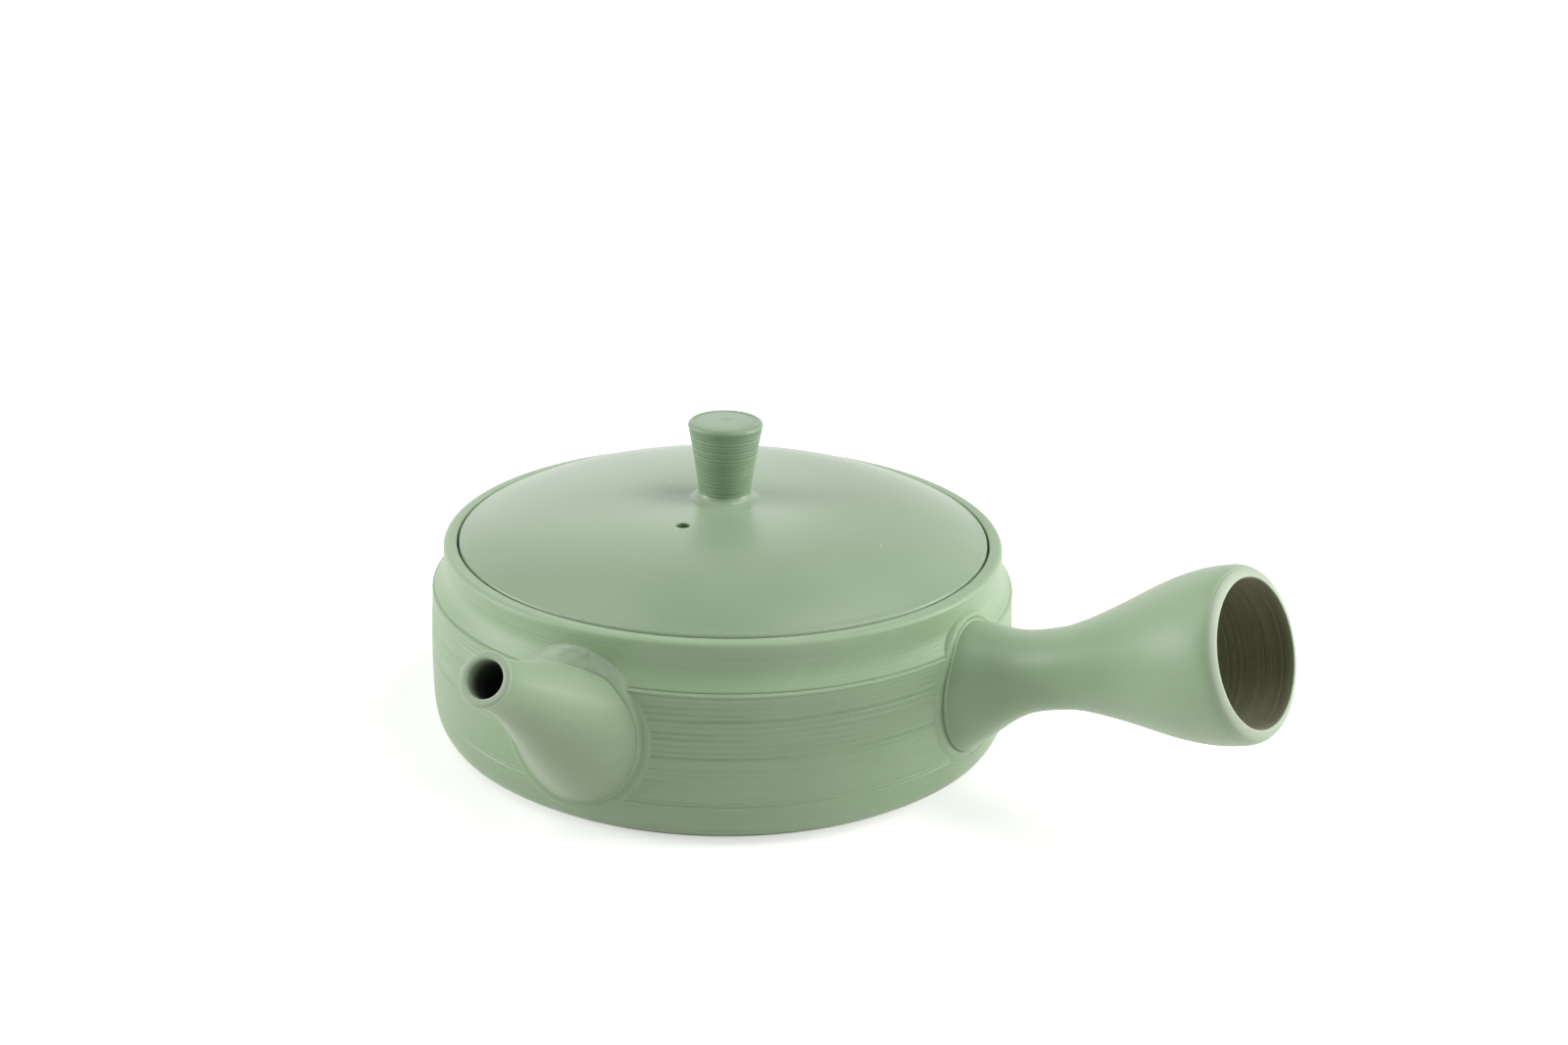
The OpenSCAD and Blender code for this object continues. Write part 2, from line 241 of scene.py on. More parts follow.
def turning_lines():
    """Geometry nodes that score a turned piece with fine lines, each of its own depth."""
    tree = bpy.data.node_groups.new("turning_lines", "GeometryNodeTree")
    sockets(tree, "INPUT", Geometry="Geometry", Spacing="Float", Depth="Float", Start="Float",
            End="Float", Fade="Float", Waver="Float", Outwards="Float", Seed="Int", Axis="Vector",
            Finish="Material", Bare_Finish="Material")
    sockets(tree, "OUTPUT", Geometry="Geometry")
    given = node(tree, "NodeGroupInput", -1600, 0).outputs

    # Distance along the axis, or out from it
    place = node(tree, "GeometryNodeInputPosition", -1400, 400).outputs[0]
    along = node(tree, "ShaderNodeVectorMath", -1200, 500, {0: place, 1: given["Axis"]},
                 operation="DOT_PRODUCT").outputs["Value"]
    foot = node(tree, "ShaderNodeVectorMath", -1000, 500, {0: given["Axis"], "Scale": along},
                operation="SCALE").outputs[0]
    out = node(tree, "ShaderNodeVectorMath", -800, 500, {0: place, 1: foot},
               operation="DISTANCE").outputs["Value"]
    across = math_node(tree, "MULTIPLY", -600, 500, out, given["Outwards"])
    inverse = math_node(tree, "SUBTRACT", -800, 300, 1.0, given["Outwards"])
    straight = math_node(tree, "MULTIPLY", -600, 300, along, inverse)
    reach = math_node(tree, "ADD", -400, 400, across, straight)

    # Lines that waver a little, each a short step in and a long ease out, with a depth of its own that
    # fades round the piece
    sway = node(tree, "ShaderNodeTexNoise", -1000, 0,
                {"Scale": SWAY_SCALE, "Detail": 1, "Vector": place}).outputs[0]
    swing = math_node(tree, "SUBTRACT", -800, 0, sway, 0.5)
    swung = math_node(tree, "MULTIPLY", -600, 0, swing, given["Waver"])
    count = math_node(tree, "DIVIDE", -200, 400, reach, given["Spacing"])
    phase = math_node(tree, "ADD", 0, 400, count, swung)
    nearest = math_node(tree, "ROUND", 200, 300, phase)
    beside = math_node(tree, "SUBTRACT", 400, 500, phase, nearest)
    ease = 1 - STEP_SHARE
    step_in = math_node(tree, "MULTIPLY_ADD", 600, 600, beside, 1 / STEP_SHARE, 0.5 / STEP_SHARE)
    ease_out = math_node(tree, "MULTIPLY_ADD", 600, 450, beside, -1 / ease, 0.5 / ease)
    groove = math_node(tree, "MINIMUM", 800, 500, step_in, ease_out)
    seeded = math_node(tree, "ADD", 400, 300, nearest, given["Seed"])
    chance = node(tree, "ShaderNodeTexWhiteNoise", 600, 300, {"W": seeded}, noise_dimensions="1D")
    own = math_node(tree, "MULTIPLY_ADD", 800, 300, chance.outputs["Value"], 1 - SHALLOWEST, SHALLOWEST)
    stretch = node(tree, "ShaderNodeCombineXYZ", 600, 0, {"Z": seeded}).outputs[0]
    round_it = node(tree, "ShaderNodeVectorMath", 800, 0, {0: place, 1: PATCH_SCALE, 2: stretch},
                    operation="MULTIPLY_ADD").outputs[0]
    patch = node(tree, "ShaderNodeTexNoise", 1000, 0, {"Scale": 1, "Vector": round_it}).outputs[0]
    shown = ramp(tree, 1200, 0, patch, PATCH_FROM, PATCH_FULL)

    # Soft ends of the lined stretch
    late = math_node(tree, "ADD", -200, -200, given["Start"], given["Fade"])
    early = math_node(tree, "SUBTRACT", -200, -400, given["End"], given["Fade"])
    rise = ramp(tree, 200, -200, reach, given["Start"], late)
    fall = ramp(tree, 200, -500, reach, given["End"], early)
    lined = math_node(tree, "MULTIPLY", 400, -300, rise, fall)
    inwards = groove
    for step, factor in enumerate((own, shown, lined, given["Depth"], -1.0)):
        inwards = math_node(tree, "MULTIPLY", 1000 + 200 * step, 300, inwards, factor)
    normal = node(tree, "GeometryNodeInputNormal", 1800, 500).outputs[0]
    shift = node(tree, "ShaderNodeVectorMath", 2000, 400, {0: normal, "Scale": inwards},
                 operation="SCALE").outputs[0]

    scored = node(tree, "GeometryNodeSetPosition", 2200, 0,
                  {"Geometry": given["Geometry"], "Offset": shift})
    real = node(tree, "GeometryNodeRealizeInstances", 2400, 0, {0: scored.outputs[0]})
    dressed = node(tree, "GeometryNodeSetMaterial", 2600, 0,
                   {"Geometry": real.outputs[0], "Material": given["Finish"]})
    is_bare = node(tree, "GeometryNodeInputNamedAttribute", 2600, -200, {"Name": "bare"},
                   data_type="BOOLEAN").outputs[0]
    bared = node(tree, "GeometryNodeSetMaterial", 2800, 0, {
        "Geometry": dressed.outputs[0], "Selection": is_bare, "Material": given["Bare Finish"]})
    node(tree, "NodeGroupOutput", 3000, 0, {0: bared.outputs[0]})
    return tree


def bake(piece):
    """Turns a piece with modifiers into a plain mesh and takes the modifiers off."""
    graph = bpy.context.evaluated_depsgraph_get()
    mesh = bpy.data.meshes.new_from_object(piece.evaluated_get(graph))
    piece.modifiers.clear()
    piece.data = mesh


def run_nodes(piece, tree, **inputs):
    """Runs a geometry node tree on a piece. Inputs are named as in the tree, with _ for a space."""
    modifier = piece.modifiers.new(tree.name, "NODES")
    modifier.node_group = tree
    for item in tree.interface.items_tree:
        key = item.name.lower().replace(" ", "_")
        if item.in_out == "INPUT" and key in inputs:
            modifier[item.identifier] = inputs[key]
    bake(piece)


def cut(piece, cutter):
    """Takes the cutter's shape out of a piece, and removes the cutter."""
    modifier = piece.modifiers.new("cut", "BOOLEAN")
    modifier.operation = "DIFFERENCE"
    modifier.solver = "EXACT"
    modifier.object = cutter
    bake(piece)
    bpy.data.objects.remove(cutter)


# Scales of the clay's mottling, grain, turning streaks and the cells that may hold a speck of grit
MOTTLE_SCALE = 38
GRAIN_SCALE = 2600
STREAK_SCALE = (16, 16, 1500)
CELL_SCALE = 210
# Size of a speck in its cell, the share of cells that hold one, and its colour
SPECK_SIZE = 0.05
SPECK_SHARE = 0.07
SPECK_PALE = (0.62, 0.66, 0.55, 1)
# Spread of the mottled tones, roughness of the clay, how much its mottling and streaks change that,
# and the height of its grain
TONE_SPREAD = 1.6
ROUGH = 0.35
ROUGH_MOTTLE = 0.16
ROUGH_STREAK = 0.1
GRAIN_H = 0.35


def fired_clay():
    """Shader group for unglazed stoneware: soft mottling, streaks left by turning, pale grit and
    grain. Vector has the turning axis along Z."""
    tree = bpy.data.node_groups.new("fired_clay", "ShaderNodeTree")
    sockets(tree, "INPUT", Vector="Vector", Clay="Color", Pale="Color", Streaks="Float", Grit="Float",
            Polish="Float")
    sockets(tree, "OUTPUT", Color="Color", Roughness="Float", Height="Float")
    given = node(tree, "NodeGroupInput", -1200, 0).outputs
    spot = given["Vector"]

    def cloud(x, y, scale, detail, vector):
        feeds = {"Scale": scale, "Detail": detail, "Vector": vector}
        return node(tree, "ShaderNodeTexNoise", x, y, feeds).outputs[0]

    mottle = cloud(-800, 400, MOTTLE_SCALE, 4, spot)
    grain = cloud(-800, 200, GRAIN_SCALE, 2, spot)
    squeeze = node(tree, "ShaderNodeMapping", -1000, 0, {"Scale": STREAK_SCALE, "Vector": spot})
    streak = cloud(-800, 0, 1, 3, squeeze.outputs[0])
    cells = node(tree, "ShaderNodeTexVoronoi", -800, -300, {"Scale": CELL_SCALE, "Vector": spot})
    pick = node(tree, "ShaderNodeSeparateColor", -600, -400, {0: cells.outputs["Color"]})
    near = math_node(tree, "LESS_THAN", -600, -250, cells.outputs["Distance"], SPECK_SIZE)
    few = math_node(tree, "LESS_THAN", -400, -400, pick.outputs[0], SPECK_SHARE)
    speck = math_node(tree, "MULTIPLY", -200, -300, near, few)
    grit = math_node(tree, "MULTIPLY", 0, -300, speck, given["Grit"])

    streak_off = math_node(tree, "SUBTRACT", -600, 0, streak, 0.5)
    streaked = math_node(tree, "MULTIPLY", -400, 0, streak_off, given["Streaks"])
    tone = math_node(tree, "MULTIPLY_ADD", -200, 200, mottle, TONE_SPREAD, 0.5 - TONE_SPREAD / 2)
    tone = math_node(tree, "ADD", 0, 200, tone, streaked)
    base = mix(tree, 200, 300, tone, given["Clay"], given["Pale"])
    gritty = mix(tree, 400, 200, grit, base, SPECK_PALE)
    rough = math_node(tree, "MULTIPLY_ADD", 200, 0, mottle, ROUGH_MOTTLE, ROUGH)
    rough = math_node(tree, "MULTIPLY_ADD", 400, 0, streaked, ROUGH_STREAK, rough)
    rough = math_node(tree, "SUBTRACT", 550, 0, rough, given["Polish"])
    height = math_node(tree, "MULTIPLY_ADD", 200, -300, grain, GRAIN_H, streaked)
    node(tree, "NodeGroupOutput", 700, 0, {"Color": gritty, "Roughness": rough, "Height": height})
    return tree


CLAY_GROUP = fired_clay()
LINES = turning_lines()
CLAY_SPECULAR = 0.5
CLAY_SHEEN = 0.2
SHEEN_ROUGH = 0.4
RELIEF_H = 0.3 * MM


def clay(name, color, pale, streaks=0.5, grit=0.8, polish=0.0, relief=0.2, turn=None):
    """Matte fired clay. turn brings a piece's own turning axis to Z, as a matrix."""
    material = bpy.data.materials.new(name)
    material.use_nodes = True
    tree = material.node_tree
    place = node(tree, "ShaderNodeTexCoord", -900, 0).outputs["Object"]
    mapping = node(tree, "ShaderNodeMapping", -700, 0, {"Vector": place})
    if turn is not None:
        feed(tree, mapping, {"Rotation": turn.to_euler(), "Location": turn.translation})
    given = {"Vector": mapping.outputs[0], "Clay": color, "Pale": pale, "Streaks": streaks,
             "Grit": grit, "Polish": polish}
    body = node(tree, "ShaderNodeGroup", -500, 0, given, node_tree=CLAY_GROUP).outputs
    bump = node(tree, "ShaderNodeBump", -250, -200,
                {"Strength": relief, "Distance": RELIEF_H, "Height": body["Height"]})
    feed(tree, tree.nodes["Principled BSDF"], {
        "Base Color": body["Color"], "Roughness": body["Roughness"], "Normal": bump.outputs[0],
        "Specular IOR Level": CLAY_SPECULAR, "Sheen Weight": CLAY_SHEEN,
        "Sheen Roughness": SHEEN_ROUGH})
    return material


pot_clay = clay("pot_clay", GREEN, GREEN_PALE, streaks=0.9, relief=0.5)
bare_clay = clay("bare_clay", BARE, BARE_PALE, streaks=1.2, grit=0.3, relief=0.5)

outside = filled([(0, 0), (wall_r(0) - FOOT_ROUND, 0)], UNDER_STEP)
outside += arc(wall_r(0) - FOOT_ROUND, FOOT_ROUND, FOOT_ROUND, -80, -20, 4)
outside += [(wall_r(z), z) for z in steps(FOOT_TOP, COMB_FOOT, TUCK_STEP)]
outside += [(marked_r(z), z) for z in steps(COMB_FOOT, COMB_HEAD, COMB_STEP)[1:]]
outside += [(wall_r(z), z) for z in steps(COMB_HEAD, RIM_Z - RIM_ROUND, COVE_STEP)[1:-1]]
outside += arc(NECK_R - RIM_ROUND, RIM_Z - RIM_ROUND, RIM_ROUND, 0, 90)
outside += arc(GALLERY_R + RIM_INNER_ROUND, RIM_Z - RIM_INNER_ROUND, RIM_INNER_ROUND, 90, 180, 4)
outside += [(GALLERY_R, LEDGE_Z), (MOUTH_R + RIM_INNER_ROUND, LEDGE_Z)]
outside += arc(MOUTH_R + RIM_INNER_ROUND, LEDGE_Z - RIM_INNER_ROUND, RIM_INNER_ROUND, 90, 180, 4)[1:]
ledge_under = LEDGE_Z - LEDGE_T
inside = filled([(MOUTH_R, ledge_under), (CAVITY_R, ledge_under - LEDGE_SLOPE)], LEDGE_STEP)
inside += filled([inside[-1], (CAVITY_R, FLOOR_Z + FLOOR_ROUND)], INSIDE_STEP)[1:]
inside += arc(CAVITY_R - FLOOR_ROUND, FLOOR_Z + FLOOR_ROUND, FLOOR_ROUND, 0, -90)[1:]
inside += filled([(CAVITY_R - FLOOR_ROUND, FLOOR_Z), (0, FLOOR_Z)], FLOOR_STEP)[1:]
pot_profile = outside + inside
pot = turned("pot", pot_profile, POT_TURNS, bare=range(len(outside) - 1, len(pot_profile)))

# The pour hole behind the spout
SPOUT_ANGLE = math.radians(-87)
SPOUT_OFFSET = 9.7 * MM
SPOUT_OUT = 24.8 * MM
SPOUT_TILT = math.radians(34.5)
POUR_HOLE_R = 8 * MM
POUR_DROP = 2.2 * MM
HOLE_TURNS = 64
pour_angle = SPOUT_ANGLE + math.asin(SPOUT_OFFSET / POT_R)
pour_z = RIM_Z - SPOUT_OUT * math.tan(SPOUT_TILT) - POUR_DROP
pour_line = (
    Matrix.Rotation(pour_angle, 4, "Z")
    @ Matrix.Translation((0, 0, pour_z))
    @ Matrix.Rotation(math.pi / 2, 4, "Y")
)
hole_from = CAVITY_R / 2
hole_to = POT_R * 1.5
hole_profile = [(0, hole_from), (POUR_HOLE_R, hole_from), (POUR_HOLE_R, hole_to), (0, hole_to)]
hole = turned("pour_hole", hole_profile, HOLE_TURNS)
hole.data.transform(pour_line)
cut(pot, hole)
# The comb bites lightly over the whole wall, and again, harder, on its upper half: (depth, start)
COMB_BITES = ((0.11 * MM, 10 * MM), (0.36 * MM, 16 * MM))
for depth, start in COMB_BITES:
    run_nodes(pot, LINES, spacing=1.24 * MM, depth=depth, start=start, end=31 * MM, fade=3.5 * MM,
              waver=0.3, seed=4, axis=(0, 0, 1), finish=pot_clay, bare_finish=bare_clay)
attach(pot, "pot")
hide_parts("body")

# Strainer
# A thin dome of bare clay, pierced while soft with a round stick and luted over the pour hole
# inside the pot, so that the leaves stay behind.
STRAINER_IN = POUR_HOLE_R + 0.8 * MM
STRAINER_T = 1.8 * MM
STRAINER_HOLE_R = 0.7 * MM
STRAINER_RINGS = 4
FIRST_RING = 6
STRAINER_STEP = math.radians(16)
STRAINER_EDGE = math.radians(84)
STRAINER_TURNS = 72
STRAINER_ROWS = 18
STICK_SIDES = 14


def pierced():
    """Geometry nodes that stand a plug on each point of a mesh, away from the middle of the dome, and
    cut it out of the dome."""
    tree = bpy.data.node_groups.new("pierced_dome", "GeometryNodeTree")
    sockets(tree, "INPUT", Geometry="Geometry", Points="Object", Hole_Radius="Float",
            Hole_Length="Float", Finish="Material")
    sockets(tree, "OUTPUT", Geometry="Geometry")
    given = node(tree, "NodeGroupInput", -800, 0).outputs
    points = node(tree, "GeometryNodeObjectInfo", -600, -200, {"Object": given["Points"]})
    plug = node(tree, "GeometryNodeMeshCylinder", -600, -500, {
        "Vertices": STICK_SIDES, "Radius": given["Hole Radius"], "Depth": given["Hole Length"]})
    away = node(tree, "GeometryNodeInputPosition", -600, -800).outputs[0]
    turn = node(tree, "FunctionNodeAlignRotationToVector", -400, -700, {"Vector": away}, axis="Z")
    stand = node(tree, "GeometryNodeInstanceOnPoints", -200, -200, {
        "Points": points.outputs["Geometry"], "Instance": plug.outputs["Mesh"],
        "Rotation": turn.outputs[0]})
    real = node(tree, "GeometryNodeRealizeInstances", 0, -200, {0: stand.outputs[0]})
    drill = node(tree, "GeometryNodeMeshBoolean", 200, 0,
                 {"Mesh 1": given["Geometry"], "Mesh 2": real.outputs[0]},
                 operation="DIFFERENCE", solver="EXACT")
    whole = node(tree, "GeometryNodeRealizeInstances", 400, 0, {0: drill.outputs["Mesh"]})
    dressed = node(tree, "GeometryNodeSetMaterial", 600, 0,
                   {"Geometry": whole.outputs[0], "Material": given["Finish"]})
    node(tree, "NodeGroupOutput", 800, 0, {0: dressed.outputs[0]})
    return tree


def dome_points(radius, low, high, count):
    """A quarter round from angle low to high off the axis, as (radius, height)."""
    angles = [low + (high - low) * i / count for i in range(count + 1)]
    return [(radius * math.sin(a), radius * math.cos(a)) for a in angles]


strainer_out = STRAINER_IN + STRAINER_T
dome = dome_points(strainer_out, STRAINER_EDGE, 0, STRAINER_ROWS)
dome += dome_points(STRAINER_IN, 0, STRAINER_EDGE, STRAINER_ROWS)
strainer = turned("strainer", dome, STRAINER_TURNS, closed=True)
middle_r = STRAINER_IN + STRAINER_T / 2
hole_places = [Vector((0, 0, middle_r))]
for ring in range(1, STRAINER_RINGS + 1):
    for k in range(FIRST_RING * ring):
        spin = Matrix.Rotation(2 * math.pi * k / (FIRST_RING * ring), 3, "Z")
        hole_places.append(spin @ Matrix.Rotation(ring * STRAINER_STEP, 3, "Y") @ hole_places[0])
marks = bpy.data.objects.new("hole_marks", bpy.data.meshes.new("hole_marks"))
marks.data.from_pydata(hole_places, [], [])
bpy.context.scene.collection.objects.link(marks)
run_nodes(strainer, pierced(), points=marks, hole_radius=STRAINER_HOLE_R,
          hole_length=3 * STRAINER_T, finish=bare_clay)
bpy.data.objects.remove(marks)
strainer.data.transform(
    pour_line @ Matrix.Translation((0, 0, CAVITY_R)) @ Matrix.Rotation(math.pi, 4, "Y")
)
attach(strainer, "pot")
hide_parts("strainer")

# Spout
# Thrown as a small tapering tube, cut to the curve of the wall and luted on over the pour hole. Its
# mouth is cut a little askew with a rounded lip painted paler as a highlight, and its root opens to an
# oval on the wall.
SPOUT_MOUTH_R = 4.95 * MM
SPOUT_BORE_R = 3.55 * MM
SPOUT_TUBE = 3 * MM
SPOUT_FLARE = 37 * MM
SPOUT_ROOT_R = 13.4 * MM
BORE_ROOT_R = 7 * MM
SPOUT_POWER = 1.8
LIP_OUT = 0.2 * MM
LIP_LEN = 0.85 * MM
LIP_ROUND = 0.5 * MM
MOUTH_SKEW = math.tan(math.radians(7))
MOUTH_SKEW_LEN = 9 * MM
SPOUT_TURNS = 160
SPOUT_ROWS = 90
spout_wall_x = math.sqrt(POT_R**2 - SPOUT_OFFSET**2)
spout_line = (
    Matrix.Rotation(SPOUT_ANGLE, 4, "Z")
    @ Matrix.Translation((spout_wall_x + SPOUT_OUT, SPOUT_OFFSET, RIM_Z))
    @ Matrix.Rotation(math.pi / 2 - SPOUT_TILT, 4, "Y")
)
# The oval of the root on the wall: length round the wall from +X, height, half width, half height,
# and how far in the clay above the shoulder lies at its top
SPOUT_OVAL = (-82.48 * MM, 20.8 * MM, 14.93 * MM, 15.81 * MM, 2.3 * MM)
FLANGE_IN = 1.35 * MM
FLANGE_RISE = 0.72 * MM
SLIP_LINE = 33.3 * MM
SLIP_SOFT = 1.2 * MM
SLIP_RISE = 0.5 * MM
SPOUT_DRAW = 5
LUTE_LOW = 29.5 * MM
LUTE_H = 7 * MM
ROOT_SINK = 0.6 * MM
ROOT_DEPTH = 3 * MM
HALVINGS = 40


def flare(share, power):
    """Rises from 0 to 1 with level ends as share goes from 0 to 1."""
    return math.sin(max(0, min(1, share)) * math.pi / 2) ** power


def spout_r(back):
    """Outside radius of the spout at a distance back from its mouth."""
    open_out = flare((back - SPOUT_TUBE) / SPOUT_FLARE, SPOUT_POWER)
    lip = LIP_OUT * math.exp(-((back / LIP_LEN) ** 4))
    return SPOUT_MOUTH_R + (SPOUT_ROOT_R - SPOUT_MOUTH_R) * open_out + lip


def bore_r(back):
    """Radius of the spout's bore at a distance back from its mouth."""
    open_out = flare((back - SPOUT_TUBE) / SPOUT_FLARE, SPOUT_POWER)
    return SPOUT_BORE_R + (BORE_ROOT_R - SPOUT_BORE_R) * open_out


def place_on(line, radius, angle, along):
    """A point of a tube: at a radius and angle round its axis, and a distance along it."""
    return line @ Vector((radius * math.cos(angle), radius * math.sin(angle), along))


def meets_wall(line, radius_at, angle, far, near):
    """Distance along a tube's axis, between far and near, at which its side enters the pot."""
    for _ in range(HALVINGS):
        middle = (far + near) / 2
        point = place_on(line, radius_at(middle), angle, middle)
        if math.hypot(point.x, point.y) > wall_r(point.z):
            far = middle
        else:
            near = middle
    return near


def rows_between(first, last, count):
    """Evenly spaced values, the first one left out."""
    return [first + (last - first) * i / count for i in range(1, count + 1)]


def soft_step(share):
    """Rises from 0 to 1 with level ends, and stays there."""
    share = max(0, min(1, share))
    return share * share * (3 - 2 * share)


def spout_spot(radius, angle, along):
    """A point of the spout, whose mouth is cut a little askew, towards the handle."""
    skew = MOUTH_SKEW * radius * math.sin(angle) * soft_step(1 + along / MOUTH_SKEW_LEN)
    return place_on(spout_line, radius, angle, along - skew)


def upper(angle):
    """0 on the lower half of a root, and rising to 1 at its top."""
    return soft_step(-math.cos(angle))


def luted_r(z, lute_in):
    """Outside radius of the pot where luting clay fills the hollow above the shoulder."""
    return wall_r(z) if z < LUTE_LOW else POT_R - lute_in * soft_step((z - LUTE_LOW) / LUTE_H)


def root_flat(oval, angle, out):
    """Length round the wall and height of a point that lies out from the oval of a root."""
    around, height, half_w, half_h, _ = oval
    side = Vector((math.sin(angle) / half_w, -math.cos(angle) / half_h)).normalized() * out
    return side + Vector((around + half_w * math.sin(angle), height - half_h * math.cos(angle)))


def root_spot(oval, angle, out, rise, drop=0.0):
    """A point by the edge of a root: out from its oval along the wall, a rise above the wall, and
    moved down by drop."""
    flat = root_flat(oval, angle, out)
    turn = flat.x / POT_R
    r = luted_r(flat.y - drop, oval[4]) + rise
    return Vector((r * math.cos(turn), r * math.sin(turn), flat.y - drop))


def slip_drop(angle):
    """How far below the top of its oval the spout ends, where rough slip takes its place."""
    over = root_flat(SPOUT_OVAL, angle, -FLANGE_IN).y - SLIP_LINE
    return (over + math.hypot(over, SLIP_SOFT)) / 2


def drawn(points, goal, power):
    """Bends a line of points so that it ends on goal, more and more towards its end."""
    shift = goal - points[-1]
    last = len(points) - 1
    return [point + shift * (k / last) ** power for k, point in enumerate(points)]


spout_angles = [2 * math.pi * k / SPOUT_TURNS for k in range(SPOUT_TURNS)]
spout_deep = -(SPOUT_TUBE + SPOUT_FLARE + ROOT_DEPTH)
spout_lip = arc(SPOUT_MOUTH_R + LIP_OUT - LIP_ROUND, -LIP_ROUND, LIP_ROUND, 0, 90, 5)[1:]
spout_lip += arc(SPOUT_BORE_R + LIP_ROUND, -LIP_ROUND, LIP_ROUND, 90, 180, 5)
spout_columns = []
for angle in spout_angles:
    out_root = meets_wall(spout_line, lambda s: spout_r(-s), angle, 0, spout_deep)
    in_root = meets_wall(spout_line, lambda s: bore_r(-s), angle, 0, spout_deep)
    runs = [-LIP_ROUND] + rows_between(-LIP_ROUND, out_root, SPOUT_ROWS)
    column = [spout_spot(spout_r(-s), angle, s) for s in runs]
    drop = slip_drop(angle)
    rise = FLANGE_RISE + SLIP_RISE * upper(angle)
    column = drawn(column, root_spot(SPOUT_OVAL, angle, -FLANGE_IN, rise, drop), SPOUT_DRAW)
    column.append(root_spot(SPOUT_OVAL, angle, -FLANGE_IN - ROOT_SINK, -ROOT_SINK, drop))
    column.reverse()
    column += [spout_spot(r, angle, s) for r, s in spout_lip]
    runs = rows_between(-LIP_ROUND, in_root, SPOUT_ROWS // 2)
    column += [spout_spot(bore_r(-s), angle, s) for s in runs]
    spout_columns.append(column)


def tube(name, columns, finishes, finish_from):
    """A hollow piece from lines of points round it, each line closed. finish_from gives the row of
    points from which each of its finishes starts."""
    rows = len(columns[0])
    turns = len(columns)
    rings = [range(j * turns, (j + 1) * turns) for j in range(rows)]
    piece = finish_mesh(name, [column[j] for j in range(rows) for column in columns],
                        ring_faces(rings + rings[:1]))
    for finish in finishes:
        piece.data.materials.append(finish)
    which = [sum(k // turns >= row for row in finish_from) - 1 for k in range(rows * turns)]
    piece.data.polygons.foreach_set("material_index", which)
    return piece


spout_turn = spout_line.inverted()
SPOUT_GREEN = (0.262, 0.372, 0.214, 1)
SPOUT_PALE = (0.33, 0.443, 0.277, 1)
spout_clay = clay("spout_clay", SPOUT_GREEN, SPOUT_PALE, streaks=0.4, relief=0.15, turn=spout_turn)
# Paler clay on the rounded lip: a painted highlight
LIP_HIGHLIGHT_GREEN = (0.35, 0.455, 0.31, 1)
LIP_HIGHLIGHT_PALE = (0.42, 0.525, 0.375, 1)
spout_lip_clay = clay("spout_lip_clay", LIP_HIGHLIGHT_GREEN, LIP_HIGHLIGHT_PALE, streaks=0.2, relief=0.2, turn=spout_turn)
bore_clay = clay("bore_clay", SPOUT_GREEN, SPOUT_PALE, streaks=0.4, relief=0.15, turn=spout_turn)


def fade_along(material, start, end, color):
    """Lets a clay run out into another colour along its turning axis, from start to end."""
    tree = material.node_tree
    along = node(tree, "ShaderNodeSeparateXYZ", -500, 300, {0: tree.nodes["Mapping"].outputs[0]})
    share = ramp(tree, -300, 300, along.outputs["Z"], start, end)
    tone = mix(tree, -100, 200, share, tree.nodes["Group"].outputs["Color"], color)
    feed(tree, tree.nodes["Principled BSDF"], {"Base Color": tone})


# The green slip runs out inside the bore into bare clay, painted darker still as shade deep in the bore
BORE_SHADE_DARK = (0.045, 0.052, 0.043, 1)
BORE_SHADE_FROM = 0.2 * MM
BORE_SHADE_TO = -3.4 * MM
fade_along(bore_clay, BORE_SHADE_FROM, BORE_SHADE_TO, BORE_SHADE_DARK)
lip_from = SPOUT_ROWS + 1
spout = tube("spout", spout_columns, [spout_clay, spout_lip_clay, bore_clay],
             [0, lip_from, lip_from + len(spout_lip)])
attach(spout, "pot")
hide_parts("spout")

# Luted seam of the spout
# A coil of soft clay worked in with a finger round the root. It ends in a small step on the wall,
# and above it is left as rough slip that fills the hollow under the rim.
SLIP_PALE = (0.335, 0.435, 0.3, 1)
SLIP_FADE_FROM = SLIP_LINE - 3 * MM
SLIP_FADE_TO = SLIP_LINE + 1 * MM
LUMP_SCALE = 1100
SPOUT_LUMPS = 0.16 * MM
bead_clay = clay("bead_clay", GREEN, GREEN_PALE, streaks=0.2, grit=1.0, relief=0.4)
fade_along(bead_clay, SLIP_FADE_FROM, SLIP_FADE_TO, SLIP_PALE)


def bead(name, oval, angles, low, high, rough, drop_at=None, lift_at=None):
    """A band of luting clay along the edge of a root. Its section is given as points (out along the
    wall, rise above it, share of the drop and lift), and goes from low, at the foot of the root, to
    high at its top, where it is rough. drop_at and lift_at give how far the band reaches down the wall,
    and stands off it, at an angle."""
    verts = []
    for angle in angles:
        part = upper(angle)
        fall = drop_at(angle) if drop_at else 0
        lift = lift_at(angle) if lift_at else 0
        for (out_low, rise_low, share), (out_high, rise_high, _) in zip(low, high):
            out = out_low + (out_high - out_low) * part
            rise = rise_low + (rise_high - rise_low) * part + lift * share
            spot = root_spot(oval, angle, out, 0, fall * share)
            lump = noise.noise(spot * LUMP_SCALE) * rough * part
            verts.append(root_spot(oval, angle, out, rise + (lump if rise > 0 else 0), fall * share))
    count = len(low)
    rings = [range(k * count, (k + 1) * count) for k in range(len(angles))]
    return finish_mesh(name, verts, ring_faces(rings + rings[:1]), crease=60)


def in_mm(points):
    """The same points with their first two values turned from millimetres to metres."""
    return [(point[0] * MM, point[1] * MM, *point[2:]) for point in points]


